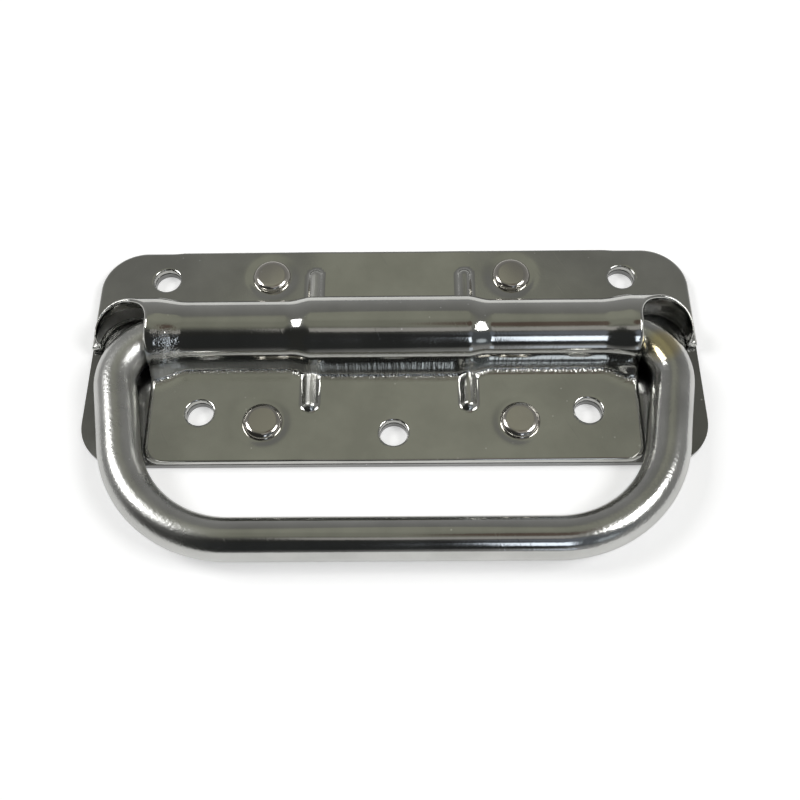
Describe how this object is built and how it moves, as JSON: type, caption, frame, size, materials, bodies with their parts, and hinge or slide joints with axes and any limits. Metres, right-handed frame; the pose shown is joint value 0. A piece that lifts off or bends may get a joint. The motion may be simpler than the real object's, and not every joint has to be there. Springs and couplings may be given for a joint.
{
  "type": "sprung chest handle",
  "caption": "Chrome-plated surface-mount chest handle: a bent round bar folds flat on two riveted pressed plates with a stepped hinge barrel and a hidden return spring.",
  "frame": {"origin": "centre of the back plate's rear face, which lies on the mounting wall", "axes": "+X along the plate, +Y towards the upper flange, +Z out of the wall"},
  "size_m": [0.12, 0.0683, 0.0128],
  "materials": {
    "plate_chrome": "bright plated",
    "cover_chrome": "bright plated, pressed",
    "bar_chrome": "bright plated",
    "spring_steel": "drawn wire",
    "rivet_chrome": "bright plated"
  },
  "bodies": {
    "plate": {"back_plate": "plate_chrome", "cover": "cover_chrome", "return_spring": "spring_steel", "rivets": "rivet_chrome"},
    "grip": {"handle": "bar_chrome"}
  },
  "joints": [
    {"name": "handle_swing", "type": "hinge", "parent": "plate", "child": "grip", "pos_m": [0, 0.002, 0.0055], "axis": [-1, 0, 0], "range_deg": [0, 90], "stiffness_Nm_per_rad": 0.06, "springref_deg": -57.3, "deforming": ["return_spring"]}
  ]
}
